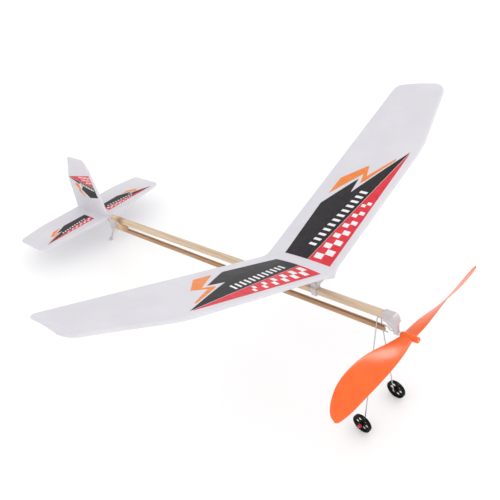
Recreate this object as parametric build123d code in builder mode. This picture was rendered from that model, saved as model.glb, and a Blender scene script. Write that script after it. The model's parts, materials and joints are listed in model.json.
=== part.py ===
"""Rubber band powered stick aeroplane, parked on its two wheels and its tail skid.

Sizes and places are in the aeroplane's own axes, in mm: X runs forward from the rear end of the motor
stick, Y to the pilot's left and Z up, both from the stick's centreline. PARKED carries them to the
ground, where the nose stands high.
"""
import os
from math import asin, atan, cos, degrees, hypot, pi, radians, sin

from build123d import *

os.makedirs("parts", exist_ok=True)

# ---------------------------------------------------------------- driving dimensions

STICK_LENGTH = 420
STICK_SIDE = 5.5
STICK_TOP = STICK_SIDE / 2
SEAT_GAP = 0.05  # between pieces that are pressed or glued together
RUNNING_GAP = 0.06  # between a wire and the bore that turns on it
FOAM = 3.0  # thickness of the moulded foam sheet
PLASTIC = 1.4  # wall of the moulded plastic pieces

# Wing: two cambered panels in a shallow V
WING_TE_X = 280
WING_CHORD = 80
WING_Z = 18  # underside of the trailing edge, on the centreline
WING_CAMBER = 3.0
WING_DIHEDRAL = 20
WING_INCIDENCE = 1.5
PANEL_LENGTH = 242
TIP_CHORD = 59
TIP_RAKE = 3  # the tip's leading edge stands this much further out than its trailing edge
ROOT_NOSE = 3.5  # the leading edge comes forward at the middle of the wing,
ROOT_NOSE_Y = 12  # from this far out
KINK_Y = 161  # where the leading edge starts to sweep back
PANEL_JOINT_Y = 0.05
SADDLE_SPAN = 17
SADDLE_FRONT = 76
SADDLE_REAR = 8
SADDLE_THICKNESS = 1.1
KEEL_WIDTH = 1.6
CLIP_LENGTH = 6
CLIP_FRONT_X = 334
CLIP_REAR_X = 290
CLIP_SIDE = 7.8
CLIP_GAP = 0.1  # the clips slide on the stick
CLIP_MOUTH = 3.6
CLIP_FORK = 5.5
KEEL_BOTTOM_Z = CLIP_SIDE / 2 + 0.2
WING_OVERRUN = 8  # each panel is made this much too large all round, then cut to its outline

# Tail
STAB_LE_X = -8
STAB_CHORD = 77
STAB_HALF_SPAN = 91
STAB_TIP_SWEEP = 16
STAB_TIP_CHORD = 54
STAB_BULGE_Y = 58  # the trailing edge is straight to here, then turns forward
STAB_BOTTOM_Z = -3.8
FIN_HEIGHT = 74
FIN_TE_X = -83
FIN_LE_X = -11.5
FIN_TAB_FRONT = -20
FIN_TAB_REAR = -44
FIN_TAB_DEPTH = FOAM + PLASTIC
FIN_BASE_Z = STAB_BOTTOM_Z + FOAM + SEAT_GAP

# Rubber motor and propeller
SHAFT_Z = -15
WIRE_RADIUS = 0.5
HOOK_X = 409
HOOK_RADIUS = 3.3
REAR_HOOK_X = 4
REAR_HOOK_Z = -12.4
REAR_POST_RADIUS = 0.9
REAR_POST_END = 15.4  # below the stick's centreline
MOUNT_WIDTH = 5.5
MOUNT_BOTTOM_Z = -17
TONGUE_REAR_X = -50
PEG_RADIUS = 1.2
PEG_LENGTH = 9
RUBBER_HEIGHT = 4.2
RUBBER_STRAND = 1.1
KNOT_REAR_X = 7.5
KNOT_LENGTH = 22
KNOT_WIDTH = 6.4
KNOT_TOP_Z = -STICK_TOP - 0.5
KNOT_BOTTOM_Z = -15.2
BEARING_FRONT_X = 425
BEARING_REAR_X = 420.5
BEARING_RADIUS = 2.2
NOSE_REAR_X = 412.5
NOSE_FRONT_X = 426.5
NOSE_RAKE = 1.4  # how far the cap's front leans back, clear of the blades
NOSE_WALL = 0.9
NOSE_TOP_Z = STICK_TOP + NOSE_WALL
NOSE_LIP_Z = -5.0
NOSE_WIDTH = STICK_SIDE + 2 * NOSE_WALL
NOSE_WEB = 3.2
BEAD_LENGTH = 1.8
BEAD_RADIUS = 1.9
HUB_REAR_X = 427.4
HUB_LENGTH = 16.5
HUB_RADIUS = 2.7
HUB_FRONT_X = HUB_REAR_X + HUB_LENGTH
PROP_RADIUS = 100
PROP_ADVANCE = 290  # forward travel in one turn, which sets the twist
BLADE_THICKNESS = 1.2
BLADE_X = HUB_REAR_X + 0.5 * HUB_LENGTH
BLADE_ANGLE = 4  # of the propeller at rest, about its shaft

# Undercarriage
WHEEL_X = 388.5
WHEEL_Y = 26
WHEEL_Z = -115
WHEEL_RADIUS = 9.5
WHEEL_WIDTH = 3.0
WHEEL_HUB_WIDTH = 4.6
WHEEL_WEB = 0.9
WHEEL_HOLE_CIRCLE = 5.0
WHEEL_HOLE_RADIUS = 1.6
LEG_X = 406.5
LEG_Y = 2.0
LOOP_FRONT_X = 417
WIRE_Z = -STICK_TOP - WIRE_RADIUS - SEAT_GAP
STOP_RADIUS = 1.7
STOP_LENGTH = 2.6
STOP_Y = WHEEL_Y + WHEEL_HUB_WIDTH / 2 + 0.3 + STOP_LENGTH / 2
SKID_FOOT_X = -26
SKID_FOOT_Z = -38
SKID_WIDTH = 2.4
SKID_DEPTH = 1.3
SKID_ROOT = 4  # pressed into the tail mount
SKID_FOOT_HEIGHT = 1.6

# ---------------------------------------------------------------- placing

# The parked attitude puts both wheels and the skid's foot on the ground
wheel_ahead = WHEEL_X - SKID_FOOT_X
wheel_below = SKID_FOOT_Z - WHEEL_Z
reach = hypot(wheel_ahead, wheel_below)
PITCH = degrees(asin(WHEEL_RADIUS / reach) + atan(wheel_below / wheel_ahead))
AXLE_RISE = WHEEL_X * sin(radians(PITCH)) + WHEEL_Z * cos(radians(PITCH))
REAR_END_Z = WHEEL_RADIUS - AXLE_RISE
REAR_END_X = -176.9  # puts the origin midway between the tail and the propeller's hub
PARKED = Location((REAR_END_X, 0, REAR_END_Z), (0, -PITCH, 0))

LEFT_PANEL = PARKED * Location((WING_TE_X, 0, WING_Z), (WING_DIHEDRAL, 0, 0))
LEFT_PANEL = LEFT_PANEL * Location((0, 0, 0), (0, -WING_INCIDENCE, 0))

# The skid is a strip that slopes back from the tail mount's underside to its foot on the ground
SKID_TOP_X = -6.5
skid_slope = degrees(atan((SKID_TOP_X - SKID_FOOT_X) / (MOUNT_BOTTOM_Z - SKID_FOOT_Z)))
SKID_PLACE = PARKED * Location((SKID_TOP_X, 0, MOUNT_BOTTOM_Z), (0, skid_slope, 0))
SKID_LENGTH = hypot(SKID_TOP_X - SKID_FOOT_X, MOUNT_BOTTOM_Z - SKID_FOOT_Z) + 1
skid_foot = (PARKED * Location((SKID_FOOT_X, 0, SKID_FOOT_Z))).position


def placed(plane, place=PARKED):
    """The plane, given in the aeroplane's or a panel's own axes, where it really is."""
    return Plane(place * plane.location)


def finish(piece, name):
    piece.part.label = name
    export_step(piece.part, f"parts/{name}.step")


# ---------------------------------------------------------------- stick

with BuildPart() as motor_stick:
    with BuildSketch(placed(Plane.YZ)):
        Rectangle(STICK_SIDE, STICK_SIDE)
    extrude(amount=STICK_LENGTH)
    long_edges = [edge for edge in motor_stick.edges() if edge.length > STICK_LENGTH / 2]
    fillet(long_edges, radius=0.4)
    # A blind hole in the rear end takes the tail mount's peg
    with BuildSketch(placed(Plane.YZ)):
        Circle(PEG_RADIUS + SEAT_GAP)
    extrude(amount=PEG_LENGTH + 1, mode=Mode.SUBTRACT)
finish(motor_stick, "motor_stick")

# ---------------------------------------------------------------- nose bearing

with BuildPart() as nose_bearing:
    with BuildSketch(placed(Plane.XZ)):
        with BuildLine():
            FilletPolyline(
                (NOSE_REAR_X, NOSE_LIP_Z),
                (NOSE_REAR_X, NOSE_TOP_Z),
                (NOSE_FRONT_X - NOSE_RAKE, NOSE_TOP_Z),
                (NOSE_FRONT_X, NOSE_LIP_Z),
                radius=[0, 0.6, 3, 1],
                close=True,
            )
        make_face()
    extrude(amount=NOSE_WIDTH / 2, both=True)
    fillet(nose_bearing.faces().filter_by(Axis.Y).edges(), radius=NOSE_WALL)
    # The web carries the bearing tube down to the shaft's line
    with BuildSketch(placed(Plane.XZ)):
        with BuildLine():
            Polyline(
                (NOSE_REAR_X + 1, NOSE_LIP_Z + 1),
                (NOSE_REAR_X + 2, NOSE_LIP_Z - 3),
                (BEARING_REAR_X, SHAFT_Z + 2),
                (BEARING_REAR_X, SHAFT_Z),
                (BEARING_FRONT_X, SHAFT_Z),
                (BEARING_FRONT_X, SHAFT_Z + BEARING_RADIUS + 2),
                (NOSE_FRONT_X - 0.5, NOSE_LIP_Z + 2),
                close=True,
            )
        make_face()
    extrude(amount=NOSE_WEB / 2, both=True)
    with BuildSketch(placed(Plane.YZ.offset(BEARING_REAR_X))):
        with Locations((0, SHAFT_Z)):
            Circle(BEARING_RADIUS)
    extrude(amount=BEARING_FRONT_X - BEARING_REAR_X)
    with BuildSketch(placed(Plane.YZ.offset(NOSE_REAR_X))):
        with Locations((0, SHAFT_Z)):
            Circle(WIRE_RADIUS + RUNNING_GAP)
    extrude(amount=NOSE_FRONT_X + 2 - NOSE_REAR_X, mode=Mode.SUBTRACT)
    # Socket for the stick, and under it the slot for the undercarriage wire's loop
    with BuildSketch(placed(Plane.YZ.offset(NOSE_REAR_X - 1))):
        Rectangle(STICK_SIDE + 2 * SEAT_GAP, STICK_SIDE + 2 * SEAT_GAP)
    extrude(amount=STICK_LENGTH + SEAT_GAP - NOSE_REAR_X + 1, mode=Mode.SUBTRACT)
    with BuildSketch(placed(Plane.YZ.offset(NOSE_REAR_X - 1))):
        with Locations((0, WIRE_Z)):
            Rectangle(2 * (LEG_Y + WIRE_RADIUS + SEAT_GAP), 2 * (WIRE_RADIUS + 2 * SEAT_GAP))
    extrude(amount=LOOP_FRONT_X + WIRE_RADIUS + SEAT_GAP - NOSE_REAR_X + 1, mode=Mode.SUBTRACT)
finish(nose_bearing, "nose_bearing")

# ---------------------------------------------------------------- propeller and its shaft

with BuildPart() as prop_shaft:
    # One wire: a lip bent into the hub's front slot, the straight shaft and the rubber's hook
    with BuildLine(placed(Plane.XZ)) as shaft_line:
        FilletPolyline(
            (HUB_FRONT_X - 0.2, SHAFT_Z - HUB_RADIUS + 0.6),
            (HUB_FRONT_X - 0.2, SHAFT_Z),
            (HOOK_X + 7.5, SHAFT_Z),
            (HOOK_X + 4.5, SHAFT_Z + HOOK_RADIUS),
            (HOOK_X, SHAFT_Z + HOOK_RADIUS),
            (HOOK_X, SHAFT_Z - HOOK_RADIUS),
            (HOOK_X + 4.5, SHAFT_Z - HOOK_RADIUS),
            radius=[0.8, 1.5, 1.5, 1.2, 1.2],
        )
    with BuildSketch(Plane(origin=shaft_line.line @ 0, z_dir=shaft_line.line % 0)):
        Circle(WIRE_RADIUS)
    sweep(path=shaft_line.line)
finish(prop_shaft, "prop_shaft")

with BuildPart() as thrust_bead:
    with BuildSketch(placed(Plane.YZ.offset(BEARING_FRONT_X + 0.2))):
        with Locations((0, SHAFT_Z)):
            Circle(BEAD_RADIUS)
            Circle(WIRE_RADIUS + SEAT_GAP, mode=Mode.SUBTRACT)
    extrude(amount=BEAD_LENGTH)
    fillet(thrust_bead.edges().filter_by(GeomType.CIRCLE).sort_by(SortBy.RADIUS)[-2:], radius=0.6)
finish(thrust_bead, "thrust_bead")


def blade_station(share, side):
    """Section plane of a blade at a share of the propeller's radius, seen from its tip."""
    turn = degrees(atan(PROP_ADVANCE / (2 * pi * share * PROP_RADIUS)))
    hub = PARKED * Location((BLADE_X, 0, SHAFT_Z), (BLADE_ANGLE, 0, 0))
    out = Location((0, side * share * PROP_RADIUS, 0), (-90 * side, 0, 0))
    return Plane(hub * out * Location((0, 0, 0), (0, 0, turn)))


# At shares of the radius, the blade's reach behind and ahead of the line from the shaft to its tip:
# a narrow root, a broad paddle that swells backwards, and a rounded tip
BLADE_REACH = {
    0.02: (7.6, 4),
    0.17: (10.2, 6),
    0.33: (14, 7),
    0.5: (17, 7.5),
    0.68: (18, 7.5),
    0.82: (16, 7.5),
    0.92: (11.5, 6.5),
    0.98: (6.5, 5),
    1: (2.5, 3),
}

with BuildPart() as propeller:
    for side in (1, -1):
        for share, (behind, ahead) in BLADE_REACH.items():
            with BuildSketch(blade_station(share, side)):
                with Locations((0, (behind - ahead) / 2)):
                    RectangleRounded(BLADE_THICKNESS, behind + ahead, 0.45 * BLADE_THICKNESS)
        loft()
    with BuildSketch(placed(Plane.YZ.offset(HUB_REAR_X))):
        with Locations((0, SHAFT_Z)):
            Circle(HUB_RADIUS)
    extrude(amount=HUB_LENGTH)
    with BuildSketch(placed(Plane.YZ.offset(HUB_REAR_X - 1))):
        with Locations((0, SHAFT_Z)):
            Circle(WIRE_RADIUS + SEAT_GAP)
    extrude(amount=HUB_LENGTH + 2, mode=Mode.SUBTRACT)
    # Slot across the hub's front, which the shaft's lip drops into
    with BuildSketch(placed(Plane.YZ.offset(HUB_FRONT_X - 1.2))):
        with Locations((0, SHAFT_Z - 2)):
            Rectangle(2 * (WIRE_RADIUS + SEAT_GAP), 4)
    extrude(amount=2, mode=Mode.SUBTRACT)
finish(propeller, "propeller")

# ---------------------------------------------------------------- rubber motor

rubber_tilt = degrees(atan((SHAFT_Z - REAR_HOOK_Z) / (HOOK_X - REAR_HOOK_X)))
RUBBER_LINE = PARKED * Location((REAR_HOOK_X, 0, REAR_HOOK_Z), (0, -rubber_tilt, 0))
rubber_bend = REAR_POST_RADIUS + SEAT_GAP  # the loop's inner radius round either hook
rubber_length = hypot(HOOK_X - REAR_HOOK_X, SHAFT_Z - REAR_HOOK_Z) - rubber_bend + WIRE_RADIUS

with BuildPart() as rubber_motor:
    # The knot in front of the rear hook
    with BuildSketch(placed(Plane.XZ)):
        with Locations((KNOT_REAR_X + KNOT_LENGTH / 2, (KNOT_TOP_Z + KNOT_BOTTOM_Z) / 2)):
            RectangleRounded(KNOT_LENGTH, KNOT_TOP_Z - KNOT_BOTTOM_Z, 5)
    extrude(amount=KNOT_WIDTH / 2, both=True)
    fillet(rubber_motor.faces().filter_by(Axis.Y).edges(), radius=2)
    with BuildSketch(placed(Plane.XY, RUBBER_LINE)):
        with Locations((rubber_length / 2, 0)):
            SlotCenterToCenter(rubber_length, 2 * (rubber_bend + RUBBER_STRAND))
            SlotCenterToCenter(rubber_length, 2 * rubber_bend, mode=Mode.SUBTRACT)
    extrude(amount=RUBBER_HEIGHT / 2, both=True)
finish(rubber_motor, "rubber_motor")

# ---------------------------------------------------------------- tail mount and skid

with BuildPart() as tail_mount:
    # Block behind the stick's end, an arm under the stick with the rear hook's post, and a tongue
    with BuildSketch(placed(Plane.XZ)):
        with BuildLine():
            Polyline(
                (-SEAT_GAP, STICK_TOP + 0.6),
                (-SEAT_GAP, -STICK_TOP - SEAT_GAP),
                (REAR_HOOK_X + 2, -STICK_TOP - SEAT_GAP),
                (REAR_HOOK_X + 2, -STICK_TOP - 2.5),
                (-2, -STICK_TOP - 4.5),
                (-3.5, MOUNT_BOTTOM_Z),
                (-9.5, MOUNT_BOTTOM_Z),
                (-8, STAB_BOTTOM_Z - PLASTIC - 2),
                (-10, STAB_BOTTOM_Z - PLASTIC),
                (TONGUE_REAR_X, STAB_BOTTOM_Z - PLASTIC),
                (TONGUE_REAR_X, STAB_BOTTOM_Z - SEAT_GAP),
                (STAB_LE_X + 0.6, STAB_BOTTOM_Z - SEAT_GAP),
                (STAB_LE_X + 0.6, STICK_TOP + 0.6),
                close=True,
            )
        make_face()
    extrude(amount=MOUNT_WIDTH / 2, both=True)
    # Peg into the stick
    with BuildSketch(placed(Plane.YZ.offset(-1))):
        Circle(PEG_RADIUS)
    extrude(amount=PEG_LENGTH + 1)
    # Post of the rear hook, with a head that keeps the rubber on
    with BuildSketch(placed(Plane.XY.offset(-STICK_TOP - 1))):
        with Locations((REAR_HOOK_X, 0)):
            Circle(REAR_POST_RADIUS)
    extrude(amount=-(REAR_POST_END - STICK_TOP - 1))
    with BuildSketch(placed(Plane.XY.offset(-REAR_POST_END))):
        with Locations((REAR_HOOK_X, 0)):
            Circle(REAR_POST_RADIUS + 0.9)
    extrude(amount=-0.9)
    # Slot in the tongue for the fin's tab, and the hole that the skid is pressed into
    with BuildSketch(placed(Plane.XY.offset(STAB_BOTTOM_Z))):
        with Locations(((FIN_TAB_FRONT + FIN_TAB_REAR) / 2, 0)):
            Rectangle(FIN_TAB_FRONT - FIN_TAB_REAR + 2 * SEAT_GAP, FOAM + 2 * SEAT_GAP)
    extrude(amount=-PLASTIC - 1, mode=Mode.SUBTRACT)
    with BuildSketch(placed(Plane.XY.offset(-2), SKID_PLACE)):
        Rectangle(SKID_DEPTH + 2 * SEAT_GAP, SKID_WIDTH + 2 * SEAT_GAP)
    extrude(amount=SKID_ROOT + 2 + SEAT_GAP, mode=Mode.SUBTRACT)
finish(tail_mount, "tail_mount")

with BuildPart() as tail_skid:
    with BuildSketch(placed(Plane.XY.offset(SKID_ROOT), SKID_PLACE)):
        Rectangle(SKID_DEPTH, SKID_WIDTH)
    extrude(amount=-SKID_ROOT - SKID_LENGTH)
    # Foot: a short thicker pad, flat on the ground
    with BuildSketch(Plane.XY.offset(SKID_FOOT_HEIGHT)):
        with Locations((skid_foot.X, 0)):
            RectangleRounded(5.0, 3.6, 1.2)
    extrude(amount=-SKID_FOOT_HEIGHT)
    split(bisect_by=Plane.XY, keep=Keep.TOP)
finish(tail_skid, "tail_skid")

# ---------------------------------------------------------------- tail surfaces

with BuildPart() as stabilizer:
    with BuildSketch(placed(Plane.XY.offset(STAB_BOTTOM_Z))):
        with BuildLine():
            tip_le_x = STAB_LE_X - STAB_TIP_SWEEP
            FilletPolyline(
                (STAB_LE_X, 0),
                (tip_le_x, STAB_HALF_SPAN),
                (tip_le_x - STAB_TIP_CHORD, STAB_HALF_SPAN),
                (STAB_LE_X - STAB_CHORD, STAB_BULGE_Y),
                (STAB_LE_X - STAB_CHORD, -STAB_BULGE_Y),
                (tip_le_x - STAB_TIP_CHORD, -STAB_HALF_SPAN),
                (tip_le_x, -STAB_HALF_SPAN),
                radius=[12, 9, 6, 30, 30, 6, 9],
                close=True,
            )
        make_face()
        with Locations(((FIN_TAB_FRONT + FIN_TAB_REAR) / 2, 0)):
            Rectangle(
                FIN_TAB_FRONT - FIN_TAB_REAR + 2 * SEAT_GAP, FOAM + 2 * SEAT_GAP, mode=Mode.SUBTRACT
            )
    extrude(amount=FOAM)
finish(stabilizer, "stabilizer")

with BuildPart() as fin:
    with BuildSketch(placed(Plane.XZ)):
        with BuildLine():
            FilletPolyline(
                (FIN_LE_X, FIN_BASE_Z),
                (FIN_LE_X - 1, 0.25 * FIN_HEIGHT),
                (FIN_LE_X - 7, 0.8 * FIN_HEIGHT),
                (FIN_LE_X - 13, FIN_HEIGHT),
                (FIN_TE_X + 23.5, FIN_HEIGHT),
                (FIN_TE_X + 6, 0.61 * FIN_HEIGHT),
                (FIN_TE_X, FIN_BASE_Z),
                radius=[0, 30, 20, 9, 0, 4, 0],
                close=True,
            )
        make_face()
        with Locations(((FIN_TAB_FRONT + FIN_TAB_REAR) / 2, FIN_BASE_Z - FIN_TAB_DEPTH / 2)):
            Rectangle(FIN_TAB_FRONT - FIN_TAB_REAR, FIN_TAB_DEPTH + 0.02)
    extrude(amount=FOAM / 2, both=True)
finish(fin, "fin")

# ---------------------------------------------------------------- wing


def aerofoil(drop, thickness, front, rear):
    """A cambered sheet section between two arcs, its underside drop below the wing's own."""

    def rise(x):
        return 4 * WING_CAMBER * x * (WING_CHORD - x) / WING_CHORD**2 - drop

    middle = (front + rear) / 2
    ThreePointArc((rear, rise(rear)), (middle, rise(middle)), (front, rise(front)))
    Line((front, rise(front)), (front, rise(front) + thickness))
    top = [(x, rise(x) + thickness) for x in (front, middle, rear)]
    ThreePointArc(*top)
    Line((rear, rise(rear) + thickness), (rear, rise(rear)))


with BuildPart() as wing_left:
    with BuildSketch(placed(Plane.XZ.offset(WING_OVERRUN), LEFT_PANEL)):
        with BuildLine():
            aerofoil(0, FOAM, WING_CHORD + WING_OVERRUN, -WING_OVERRUN)
        make_face()
    extrude(amount=-PANEL_LENGTH - 2 * WING_OVERRUN)
    with BuildSketch(placed(Plane.XY.offset(-10), LEFT_PANEL)):
        with BuildLine():
            FilletPolyline(
                (0, -2 * WING_OVERRUN),
                (0, PANEL_LENGTH - TIP_RAKE),
                (TIP_CHORD, PANEL_LENGTH),
                (WING_CHORD, KINK_Y),
                (WING_CHORD, ROOT_NOSE_Y),
                (WING_CHORD + ROOT_NOSE, 0),
                (WING_CHORD + ROOT_NOSE, -2 * WING_OVERRUN),
                radius=[0, 8, 15, 90, 20, 0, 0],
                close=True,
            )
        make_face()
    extrude(amount=30, mode=Mode.INTERSECT)
    # The root is cut upright, where the other panel meets it
    split(bisect_by=Plane.XZ.offset(-PANEL_JOINT_Y), keep=Keep.BOTTOM)
finish(wing_left, "wing_left")

with BuildPart() as wing_right:
    mirror(wing_left.part, about=Plane.XZ)
finish(wing_right, "wing_right")


def keel_top(x):
    """Height of the middle of the saddle's plate over the centreline, x forward of the trailing edge."""
    arch = 4 * WING_CAMBER * x * (WING_CHORD - x) / WING_CHORD**2
    return WING_Z + x * sin(radians(WING_INCIDENCE)) + arch - SEAT_GAP - SADDLE_THICKNESS / 2


with BuildPart() as wing_saddle:
    # A thin plate under each panel, in the same V
    with BuildSketch(placed(Plane.XZ.offset(WING_OVERRUN), LEFT_PANEL)):
        with BuildLine():
            aerofoil(SADDLE_THICKNESS + SEAT_GAP, SADDLE_THICKNESS, SADDLE_FRONT, SADDLE_REAR)
        make_face()
    extrude(amount=-SADDLE_SPAN - WING_OVERRUN)
    split(bisect_by=Plane.XZ, keep=Keep.BOTTOM)
    mirror(about=Plane.XZ)
    # The keel, which stands in both clips
    with BuildSketch(placed(Plane.XZ)):
        with BuildLine():
            front, rear = SADDLE_FRONT - 1, SADDLE_REAR + 1
            arch = [(WING_TE_X + x, keel_top(x)) for x in (front, (front + rear) / 2, rear)]
            ThreePointArc(*arch)
            Polyline(
                arch[-1],
                (CLIP_REAR_X, KEEL_BOTTOM_Z),
                (CLIP_FRONT_X + CLIP_LENGTH, KEEL_BOTTOM_Z),
                arch[0],
            )
        make_face()
    extrude(amount=KEEL_WIDTH / 2, both=True)
finish(wing_saddle, "wing_saddle")


def clip_section():
    """A square collar round the stick, open below, with a fork on top for the keel."""
    Rectangle(CLIP_SIDE, CLIP_SIDE)
    with Locations((0, CLIP_SIDE / 2 + CLIP_FORK / 2 - 0.5)):
        Rectangle(KEEL_WIDTH + 2 * PLASTIC, CLIP_FORK + 1)
    with Locations((0, CLIP_SIDE / 2 + CLIP_FORK / 2 + 0.6)):
        Rectangle(KEEL_WIDTH + 2 * SEAT_GAP, CLIP_FORK + 1, mode=Mode.SUBTRACT)
    Rectangle(STICK_SIDE + 2 * CLIP_GAP, STICK_SIDE + 2 * CLIP_GAP, mode=Mode.SUBTRACT)
    with Locations((0, -CLIP_SIDE / 2)):
        Rectangle(CLIP_MOUTH, CLIP_SIDE / 2, mode=Mode.SUBTRACT)


with BuildPart() as wing_clip_front:
    with BuildSketch(placed(Plane.YZ.offset(CLIP_FRONT_X))):
        clip_section()
    extrude(amount=CLIP_LENGTH)
finish(wing_clip_front, "wing_clip_front")

with BuildPart() as wing_clip_rear:
    with BuildSketch(placed(Plane.YZ.offset(CLIP_REAR_X))):
        clip_section()
    extrude(amount=CLIP_LENGTH)
finish(wing_clip_rear, "wing_clip_rear")

# ---------------------------------------------------------------- undercarriage

with BuildPart() as landing_gear_wire:
    # One wire: an axle, a leg, the loop in the nose bearing, and the other leg and axle
    axle_end = WHEEL_Y + WHEEL_HUB_WIDTH / 2 + STOP_LENGTH + 0.8
    knee = WHEEL_Y - WHEEL_HUB_WIDTH / 2 - 1.4
    with BuildLine(placed(Plane.XY)) as gear_line:
        FilletPolyline(
            (WHEEL_X, -axle_end, WHEEL_Z),
            (WHEEL_X, -knee, WHEEL_Z),
            (LEG_X, -LEG_Y, WIRE_Z),
            (LOOP_FRONT_X, -LEG_Y, WIRE_Z),
            (LOOP_FRONT_X, LEG_Y, WIRE_Z),
            (LEG_X, LEG_Y, WIRE_Z),
            (WHEEL_X, knee, WHEEL_Z),
            (WHEEL_X, axle_end, WHEEL_Z),
            radius=1.2,
        )
    with BuildSketch(Plane(origin=gear_line.line @ 0, z_dir=gear_line.line % 0)):
        Circle(WIRE_RADIUS)
    sweep(path=gear_line.line)
finish(landing_gear_wire, "landing_gear_wire")


def wheel_at(side):
    """A thin disc wheel with a rim, a hub and six round holes, turning on the wire's axle."""
    axle = Plane.XZ.offset(-side * WHEEL_Y)
    with BuildPart() as wheel:
        with BuildSketch(placed(axle)):
            with Locations((WHEEL_X, WHEEL_Z)):
                Circle(WHEEL_RADIUS)
                Circle(WHEEL_RADIUS - 1.6, mode=Mode.SUBTRACT)
        extrude(amount=WHEEL_WIDTH / 2, both=True)
        fillet(wheel.edges().filter_by(GeomType.CIRCLE).group_by(SortBy.RADIUS)[-1], radius=0.8)
        with BuildSketch(placed(axle)):
            with Locations((WHEEL_X, WHEEL_Z)):
                Circle(WHEEL_RADIUS - 1.2)
        extrude(amount=WHEEL_WEB / 2, both=True)
        with BuildSketch(placed(axle)):
            with Locations((WHEEL_X, WHEEL_Z)):
                Circle(1.9)
        extrude(amount=WHEEL_HUB_WIDTH / 2, both=True)
        with BuildSketch(placed(axle)):
            with Locations((WHEEL_X, WHEEL_Z)):
                Circle(WIRE_RADIUS + RUNNING_GAP)
                with PolarLocations(WHEEL_HOLE_CIRCLE, 6):
                    Circle(WHEEL_HOLE_RADIUS)
        extrude(amount=WHEEL_HUB_WIDTH, both=True, mode=Mode.SUBTRACT)
    return wheel


def stop_at(side):
    """A short plastic sleeve pressed on the axle's end, which keeps the wheel on."""
    with BuildPart() as stop:
        with BuildSketch(placed(Plane.XZ.offset(-side * STOP_Y))):
            with Locations((WHEEL_X, WHEEL_Z)):
                Circle(STOP_RADIUS)
                Circle(WIRE_RADIUS + SEAT_GAP / 2, mode=Mode.SUBTRACT)
        extrude(amount=STOP_LENGTH / 2, both=True)
    return stop


for side, side_name in ((1, "left"), (-1, "right")):
    finish(wheel_at(side), f"wheel_{side_name}")
    finish(stop_at(side), f"axle_stop_{side_name}")
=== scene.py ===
"""Looks of a rubber band powered stick aeroplane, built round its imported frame.

Pieces are made in millimetres in the aeroplane's own axes: X runs forward from the rear end of the motor
stick, Y to the pilot's left and Z up, both from the stick's centreline. AIRCRAFT carries them into the
frame, which is in metres. PANEL, STABILIZER and FIN do the same for the plates' own axes, in which X
runs forward, Y runs outwards and Z is the plate's thickness.
"""
import json
from math import acos, atan, atan2, cos, pi, radians, sin, tan, tau

import bmesh
import bpy
from mathutils import Matrix, Vector, noise


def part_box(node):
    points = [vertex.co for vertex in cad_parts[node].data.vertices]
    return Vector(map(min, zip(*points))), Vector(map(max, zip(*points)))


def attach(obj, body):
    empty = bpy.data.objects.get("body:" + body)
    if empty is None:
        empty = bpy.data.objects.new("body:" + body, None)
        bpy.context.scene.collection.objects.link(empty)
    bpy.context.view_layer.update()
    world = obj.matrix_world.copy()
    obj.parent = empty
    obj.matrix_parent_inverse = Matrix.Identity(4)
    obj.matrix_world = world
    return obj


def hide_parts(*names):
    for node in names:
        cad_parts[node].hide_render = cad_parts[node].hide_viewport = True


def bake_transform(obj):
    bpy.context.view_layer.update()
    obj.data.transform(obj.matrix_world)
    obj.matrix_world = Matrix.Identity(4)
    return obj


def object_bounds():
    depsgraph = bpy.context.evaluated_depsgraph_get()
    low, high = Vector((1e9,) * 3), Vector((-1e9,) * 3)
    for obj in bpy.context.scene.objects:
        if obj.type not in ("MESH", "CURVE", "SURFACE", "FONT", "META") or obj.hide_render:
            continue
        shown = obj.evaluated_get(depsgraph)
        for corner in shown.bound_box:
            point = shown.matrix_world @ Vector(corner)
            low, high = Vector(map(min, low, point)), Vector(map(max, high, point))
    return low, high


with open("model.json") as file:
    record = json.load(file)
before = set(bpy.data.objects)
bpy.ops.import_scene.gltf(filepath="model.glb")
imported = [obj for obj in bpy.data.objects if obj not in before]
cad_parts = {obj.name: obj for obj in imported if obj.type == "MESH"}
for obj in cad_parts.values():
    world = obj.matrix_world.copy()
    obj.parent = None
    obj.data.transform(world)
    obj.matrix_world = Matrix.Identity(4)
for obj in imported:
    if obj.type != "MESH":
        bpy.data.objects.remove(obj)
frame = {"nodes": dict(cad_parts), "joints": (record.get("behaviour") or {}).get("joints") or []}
cad_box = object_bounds()

# ---------------------------------------------------------------- driving dimensions, in mm

FOAM = 3.0  # thickness of the foam plates
RIM = 1.25  # radius of their moulded edges
RIM_STEPS = 4
WAVE = 0.06  # how far the foam's faces wander from true
WING_TE_X = 280
WING_Z = 18
WING_CHORD = 80
WING_CAMBER = 3.0
ROOT_EASE = 7  # the two panels meet in a soft valley, which starts this far out
WING_DIHEDRAL = 20
WING_INCIDENCE = 1.5
PANEL_LENGTH = 242
PANEL_JOINT_Y = 0.05
TIP_CHORD = 59
TIP_RAKE = 3
KINK_Y = 161  # where the leading edge starts to sweep back
ROOT_NOSE = 3.5  # the leading edge comes forward at the middle of the wing,
ROOT_NOSE_Y = 12  # from this far out
STAB_LE_X = -8
STAB_TE_X = -85
STAB_HALF_SPAN = 91
STAB_TIP_FRONT_X = -24
STAB_TIP_REAR_X = -78
STAB_BULGE_Y = 58
STAB_BOTTOM_Z = -3.8
FIN_BASE_Z = STAB_BOTTOM_Z + FOAM + 0.05
FIN_HEIGHT = 74
FIN_LE_X = -11.5
FIN_TE_X = -83
FIN_TAB_FRONT = -20
FIN_TAB_REAR = -44
FIN_TAB_Z = FIN_BASE_Z - 4.4
BEADS = 520  # scale of the foam's beads, which show through the print as well
SHAFT_Z = -15
WIRE_RADIUS = 0.5
RUNNING_GAP = 0.06  # between a wire and the bore that turns on it
HUB_REAR_X = 427.4
HUB_LENGTH = 16.5
HUB_RADIUS = 2.7
BLADE_X = HUB_REAR_X + 0.5 * HUB_LENGTH
BLADE_ANGLE = 4
PROP_RADIUS = 100
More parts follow.
